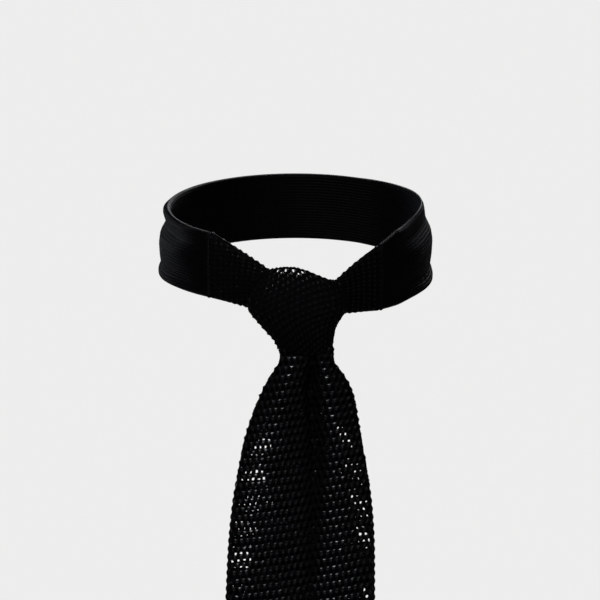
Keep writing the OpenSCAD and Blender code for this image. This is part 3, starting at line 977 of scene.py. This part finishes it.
knot = {
    # share of the height, left edge, right edge
    "edges": ((-0.06, -9.0, 8.0), (0.00, -11.5, 11.0), (0.06, -13.5, 14.5), (0.20, -15.5, 18.5),
              (0.36, -18.5, 21.0), (0.48, -19.5, 21.5), (0.56, -17.6, 19.8), (0.64, -15.0, 17.6),
              (0.72, -12.4, 16.4), (0.82, -8.8, 15.8), (0.91, -7.0, 15.1), (1.00, -6.3, 15.5),
              (1.10, -6.2, 15.6)),
    # upper edge of the front wrap at shares of the way round from the left
    "wrapShares": (0, .2, .35, .5, .62, .75, .88, 1),
    "wrapTop": (.10, .03, 0, 0, .04, .12, .19, .23),
    "top": -8.0,
    "height": 37.0,
    "back": -58.0,
    "deep": 20.0,
    "power": 0.7,
}


def knotRing(turn, k, grow=0.0):
    # turn: 0 at the right side, -90 at the front; k: share of the height from the top
    shares, left, right = np.array(knot["edges"]).T
    a, b = np.interp(k, shares, left) - grow, np.interp(k, shares, right) + grow
    half, middle = (b - a) / 2, (a + b) / 2
    deep = knot["deep"] * (0.7 + 0.3 * np.sin(math.pi * np.minimum(1, 0.12 + 0.8 * k.clip(0)))) / 2
    c, s = np.cos(turn), np.sin(turn)
    x = middle + half * np.sign(c) * np.abs(c) ** knot["power"]
    y = knot["back"] - deep + (deep + np.where(s < 0, grow, 0)) * np.sign(s) * np.abs(s) ** knot["power"]
    return np.stack([x, y, knot["top"] - knot["height"] * k], axis=1)


def evenTurn(v, start, end):
    # the turn at which a share v of the way round the knot's middle is reached
    turns = np.radians(np.linspace(start, end, 721))
    ring = knotRing(turns, np.full(721, 0.4))
    run = np.concatenate([[0], np.cumsum(np.linalg.norm(np.diff(ring, axis=0), axis=1))])
    inside = np.interp(v, run / run[-1], turns)
    past = np.where(v < 0, v, np.where(v > 1, v - 1, 0))
    return inside + past * (turns[-1] - turns[0])


def makePass(name, node, surface, columns, rows, seed, eye, thick,
             yarn=0.5, isOpen=allShut, scallop=0.2):
    # one pass of the blade round the knot
    points, faces, uv = keepRows(netPanel(surface, columns, rows, seed, eye=(eye[0], eye[1]), yarn=yarn,
                                          core=evenCore(thick), isOpen=isOpen, scallop=scallop))
    piece = makePiece(name, points, faces, uv, "shadedTightKnit")
    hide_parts(node)
    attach(piece, "knot")


def makeFrontWrap():
    def surface(u, v):
        # u runs down the wrap and v round the front from the left side to the right
        turn = evenTurn(v, 172, 368)
        edge = np.interp(v, knot["wrapShares"], knot["wrapTop"])
        low = 1.0 + 0.03 * np.sin(7 * v - 2.2) + 0.05 * (v - 0.5)
        k = edge + u * (low - edge)
        left = np.exp(-((v - 0.08) / 0.10) ** 2)
        at = knotRing(turn, k, 0.25 + 0.35 * left * np.cos(28 * math.pi * u))
        front = np.exp(-((v - 0.5) / 0.28) ** 2)
        at[:, 1] -= (0.9 * np.sin(math.pi * u.clip(0, 1)) + 0.5 * np.sin(7.5 * u + 2.5 * v) * 0.8) * front
        return at

    def leftOpen(a, b):
        return (a < 1.2) & (b > 6) & (b < 13)

    makePass("knotFrontWrapKnit", "knot_front_wrap", surface, 14, 22, 41, eye=(0.26, 0.25), thick=0.35,
             yarn=0.58, isOpen=leftOpen, scallop=0.1)


def makeBackWrap():
    def surface(u, v):
        turn = evenTurn(v, 4, 176)
        top = 0.17 - 0.09 * smoothStep(v, 0.1, 0.7)
        k = top + (0.98 - top) * u
        at = knotRing(turn, k, -0.3)
        at[:, 1] -= 0.7
        return at

    makePass("knotBackWrapKnit", "knot_back_wrap", surface, 14, 12, 42, eye=(0.2, 0.2), thick=0.4)


def makeRiser():
    def surface(u, v):
        # the layer that comes up behind the knot and turns over its top
        x = (u - 0.5) * 2 * (10.5 + 1.5 * v) + 1.2
        turn = v * math.pi
        y = -66.2 + 7.6 * np.cos(turn)
        z = -15.2 + 3.2 * np.sin(turn) - 0.11 * x - 0.6 * ((u - 0.5) * 2) ** 2 - 0.022 * (x - 2).clip(0) ** 2
        return np.stack([x, y, z], axis=1)

    makePass("knotRiserKnit", "knot_riser", surface, 10, 6, 43, eye=(0.22, 0.22), thick=0.3)


def makeInnerPass():
    def surface(u, v):
        z = -13.5 - 31 * v
        half = 9.0 + 3.0 * np.sin(math.pi * v) - 1.0 * v
        x = bladeMiddle(np.full_like(z, swingAt[2])) + (u - 0.5) * 2 * half
        y = -71.0 + 1.2 * np.cos(6.2 * (u - 0.5)) - 0.8 * v
        return np.stack([x, y, z], axis=1)

    makePass("knotInnerPassKnit", "knot_inner_pass", surface, 10, 9, 44, eye=(0.2, 0.2), thick=0.7)


makeFrontWrap()
makeBackWrap()
makeRiser()
makeInnerPass()
print("knot made")

hems = {
    "ease": 0.6,  # wider than the CAD on each side
    "overlap": 1.8,  # over the last row of the net
    "core": 1.05,
    "tackThread": 0.2,
    "tackLength": 3,
}


def makeHem(name, node, columns, seed, body):
    low, high = corners(node)
    tall = high[2] - low[2]
    middle = (low[1] + high[1]) / 2

    def surface(u, v):
        x = low[0] - hems["ease"] + (high[0] - low[0] + 2 * hems["ease"]) * u
        z = high[2] + hems["overlap"] - (tall + hems["overlap"]) * v + 0.25 * np.sin(u * 9.0) * v
        y = np.full_like(x, middle) + 0.25 * np.sin(u * 7.0)
        return np.stack([x, y, z], axis=1)

    def core(u, v):
        ends = np.sqrt(1 - (np.abs(2 * u - 1).clip(0, 1)) ** 10)
        return hems["core"] * ends * np.sqrt(1 - (v.clip(0, 1)) ** 5)

    points, faces, uv = keepRows(netPanel(surface, columns, 3, seed, eye=(0.2, 0.22), yarn=0.55, core=core,
                                          scallop=0.1))
    piece = makePiece(name, points, faces, uv, "openKnit")
    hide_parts(node)
    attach(piece, body)
    return piece


def zigzag(start, end, out, wave, turns, samples=10):
    # a thread that crosses a line from side to side: start to end + wave * triangle + out * lift
    s = np.linspace(0, 1, turns * samples + 1)
    tri = 2 * np.abs(2 * ((s * turns) % 1) - 1) - 1
    lift = np.abs(np.sin(math.pi * 2 * s * turns)) * 0.25 + 0.05
    start, end = np.array(start, float), np.array(end, float)
    return start + (end - start) * s[:, None] + np.array(wave, float) * tri[:, None] + (
        np.array(out, float) * lift[:, None])


def makeTacks(name, node, body):
    # each corner of the hem has a bar of close zigzag thread, front and back
    low, high = corners(node)
    z = (low[2] + high[2]) / 2
    parts = []
    for face, sign in ((low[1] + 0.12, -1), (high[1] - 0.12, 1)):
        for a, b in ((low[0], low[0] + hems["tackLength"]), (high[0] - hems["tackLength"], high[0])):
            path = zigzag((a, face, z), (b, face, z), (0, sign, 0), (0, 0, 0.55), 6)
            parts.append(tube(path, hems["tackThread"], sides=6))
    piece = makePiece(name, *joined(*parts), "thread")
    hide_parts(node)
    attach(piece, body)
    return piece


frontHem = makeHem("frontHemKnit", "front_hem", 24, 51, "blade_lower")
tailHem = makeHem("tailHemKnit", "tail_hem", 19, 52, "tail_lower")
frontTacks = makeTacks("frontHemThread", "front_hem_tacks", "blade_lower")
tailTacks = makeTacks("tailHemThread", "tail_hem_tacks", "tail_lower")


join = {
    "turn": 38.8,  # degrees from straight ahead
    "outer": 60.1,
    "inner": 57.4,
    "outerThick": 0.72,
    "innerThick": 1.0,
    "overcasts": 16,
    "overcastRadius": 0.8,
    "thread": 0.2,
}


def makeJoin(name, node, side):
    # a covered seam where the fine band meets the open knit: a padded rib with overcast thread
    leave = math.radians(join["turn"])
    out = np.array([math.sin(leave) * side, -math.cos(leave), 0])
    s = np.linspace(0, 1, 60)
    at = join["outer"] + 0.45 * np.sin(math.pi * s)
    spec = leads["front" if side < 0 else "tail"]
    path = out[None] * at[:, None]
    path[:, 2] = spec["low"][0] + 0.5 + s * (spec["top"][0] - spec["low"][0] - 1.0)
    parts = [tube(path, join["outerThick"] + 0.06 * np.cos(s * 70))]
    inner = path.copy()
    inner[:, :2] = out[None, :2] * join["inner"]
    parts.append(tube(inner, join["innerThick"]))
    w = np.linspace(0, 1, join["overcasts"] * 12 + 1)
    centre = np.stack([np.interp(w, s, path[:, i]) for i in range(3)], axis=1)
    across = np.array([math.cos(leave) * side, math.sin(leave), 0])
    angle = w * join["overcasts"] * 2 * math.pi
    circle = np.cos(angle)[:, None] * across[None] + np.sin(angle)[:, None] * out[None] * 0.9
    parts.append(tube(centre + join["overcastRadius"] * circle, join["thread"], sides=6))
    piece = makePiece(name, *joined(*parts), "thread")
    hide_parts(node)
    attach(piece, "neckband")


makeJoin("frontJoinSeam", "front_join_seam", -1)
makeJoin("tailJoinSeam", "tail_join_seam", 1)
print("hems and seams made")

def ribbon(surface, across, along, thick, uvScale):
    # a thin closed strip over surface(u, v)
    u, v = np.meshgrid(np.linspace(0, 1, across), np.linspace(0, 1, along), indexing="ij")
    u, v = u.ravel(), v.ravel()
    at = surface(u, v)
    shift = normalsOf(surface, u, v) * thick / 2
    edge = np.minimum(np.minimum(u, 1 - u), np.minimum(v, 1 - v) * along / across)
    shift = shift * (0.55 + 0.45 * smoothStep(edge, 0, 0.06))[:, None]
    uv = np.stack([u * uvScale[0], v * uvScale[1]], axis=1)
    return closeSheet(at - shift, at + shift, gridFaces(across, along), uv)


keeper = {
    "standOff": 1.15,
    "turnedUnder": 3.4,
    "thick": 0.36,
    "underThick": 0.3,
    "thread": 0.17,
}

label = {
    "thick": 0.22,
    "hemThick": 0.2,
    "hemShare": 0.14,
    "thread": 0.13,
    "stitchEvery": 1.5,
    "stitch": 1.0,
}


def makeKeeper():
    low, high = corners("keeper_loop")
    wide, tall = high[0] - low[0], high[2] - low[2]

    def surface(u, v):
        # u along the strap, v down it; it stands off the blade in the middle
        x = low[0] + wide * u
        stand = smoothStep(u, 0.10, 0.24) * (1 - smoothStep(u, 0.76, 0.90))
        y = low[1] + 0.45 + stand * keeper["standOff"] + 0.10 * np.sin(math.pi * v)
        z = high[2] - tall * v - 0.35 * np.sin(math.pi * u)
        return np.stack([x, y, z], axis=1)

    def endFold(left):
        def fold(u, v):
            run = keeper["turnedUnder"] * u - 0.25
            x = low[0] + run if left else high[0] - run
            y = low[1] + 0.10 + 0.05 * np.sin(math.pi * u)
            return np.stack([x, y, high[2] - tall * (0.03 + 0.94 * v)], axis=1)

        return fold

    under = (keeper["turnedUnder"], tall)
    strap = ribbon(surface, 70, 24, keeper["thick"], (wide, tall))
    left = ribbon(endFold(True), 8, 16, keeper["underThick"], under)
    points, faces, uv = ribbon(endFold(False), 8, 16, keeper["underThick"], under)
    piece = makePiece("keeperRibbon", *joined(strap, left, (points, faces[:, ::-1], uv)), "satin")
    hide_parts("keeper_loop")
    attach(piece, "blade_lower")
    lowT, highT = corners("keeper_tacks")
    threads = []
    for x in (lowT[0] + 0.6, highT[0] - 0.6):
        path = zigzag((x, low[1] + 0.62, lowT[2]), (x, low[1] + 0.62, highT[2]), (0, 1, 0), (0.5, 0, 0), 12)
        threads.append(tube(path, keeper["thread"], sides=6))
    thread = makePiece("keeperThread", *joined(*threads), "thread")
    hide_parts("keeper_tacks")
    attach(thread, "blade_lower")


def makeLabel():
    low, high = corners("care_label")
    wide, tall = high[0] - low[0], high[2] - low[2]

    def surface(u, v):
        # sewn along its top edge; the lower corners lift a little
        x = low[0] + wide * u
        z = high[2] - tall * v
        y = low[1] + 0.25 + 0.75 * v ** 2 * (0.4 + (2 * u - 1) ** 2) + 0.08 * np.sin(9 * u)
        return np.stack([x, y, z], axis=1)

    def hemFold(u, v):
        at = surface(u, v * label["hemShare"])
        at[:, 1] += 0.26
        return at

    face = ribbon(surface, 40, 28, label["thick"], (wide, tall))
    hem = ribbon(hemFold, 40, 8, label["hemThick"], (wide, tall * label["hemShare"]))
    piece = makePiece("careLabel", *joined(face, hem), "satin")
    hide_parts("care_label")
    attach(piece, "blade_lower")
    z = high[2] - 1.2
    threads = []
    s = np.linspace(0, 1, 7)
    for x in np.arange(low[0] + 1.0, high[0] - 1.5, label["stitchEvery"]):
        y = low[1] + 0.62 + 0.14 * np.sin(math.pi * s)
        path = np.stack([x + s * label["stitch"], y, np.full_like(s, z)], axis=1)
        threads.append(tube(path, label["thread"], sides=6))
    thread = makePiece("labelThread", *joined(*threads), "thread")
    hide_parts("label_stitches")
    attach(thread, "blade_lower")


makeKeeper()
makeLabel()
print("keeper and label made")

# the stay tape keeps its CAD body
tapeOnCad = makeFabric("stayTape", fromUv=False)
for node in frame["nodes"].values():
    if not node.hide_render:
        node.data.materials[0] = tapeOnCad

def makeFloor():
    # a flat disc of rings and spokes
    rings, spokes = 24, 96
    r = (np.linspace(0.02, 1, rings) ** 1.5) * studio["floorRadius"] / mm
    t = np.arange(spokes) * 2 * math.pi / spokes
    radius, turn = np.meshgrid(r, t, indexing="ij")
    z = corners("front_hem")[0][2] - studio["floorBelow"]
    points = np.stack([radius * np.cos(turn), radius * np.sin(turn), np.full_like(turn, z)], axis=2)
    points = points.reshape(-1, 3)
    quads = np.concatenate([ringFaces(rings, spokes), capFaces(spokes)])
    material = bpy.data.materials.new("paleFloor")
    material.use_nodes = True
    tree = material.node_tree
    shader = tree.nodes["Principled BSDF"]
    shader.inputs["Roughness"].default_value = 0.8
    shader.inputs["Specular IOR Level"].default_value = 0.2
    place = tree.nodes.new("ShaderNodeTexCoord")
    noise = tree.nodes.new("ShaderNodeTexNoise")
    noise.inputs["Scale"].default_value = 3.0
    ramp = tree.nodes.new("ShaderNodeMix")
    ramp.data_type = "RGBA"
    ramp.inputs["A"].default_value = (*studio["floorDull"], 1)
    ramp.inputs["B"].default_value = (*studio["floorPale"], 1)
    tree.links.new(place.outputs["Object"], noise.inputs["Vector"])
    tree.links.new(noise.outputs["Fac"], ramp.inputs["Factor"])
    tree.links.new(ramp.outputs["Result"], shader.inputs["Base Color"])
    # the floor looks as pale as the backdrop but throws little light up at the tie
    glow = tree.nodes.new("ShaderNodeEmission")
    glow.inputs["Color"].default_value = (*studio["backdrop"], 1)
    glow.inputs["Strength"].default_value = studio["floorGlow"]
    path = tree.nodes.new("ShaderNodeLightPath")
    both = tree.nodes.new("ShaderNodeAddShader")
    pick = tree.nodes.new("ShaderNodeMixShader")
    tree.links.new(shader.outputs[0], both.inputs[0])
    tree.links.new(glow.outputs[0], both.inputs[1])
    tree.links.new(path.outputs["Is Camera Ray"], pick.inputs["Fac"])
    tree.links.new(shader.outputs[0], pick.inputs[1])
    tree.links.new(both.outputs[0], pick.inputs[2])
    tree.links.new(pick.outputs[0], tree.nodes["Material Output"].inputs["Surface"])
    materials["paleFloor"] = material
    floor = makePiece("floor", points, quads, points[:, :2], "paleFloor")


makeFloor()

bpy.context.view_layer.update()
print("finished")
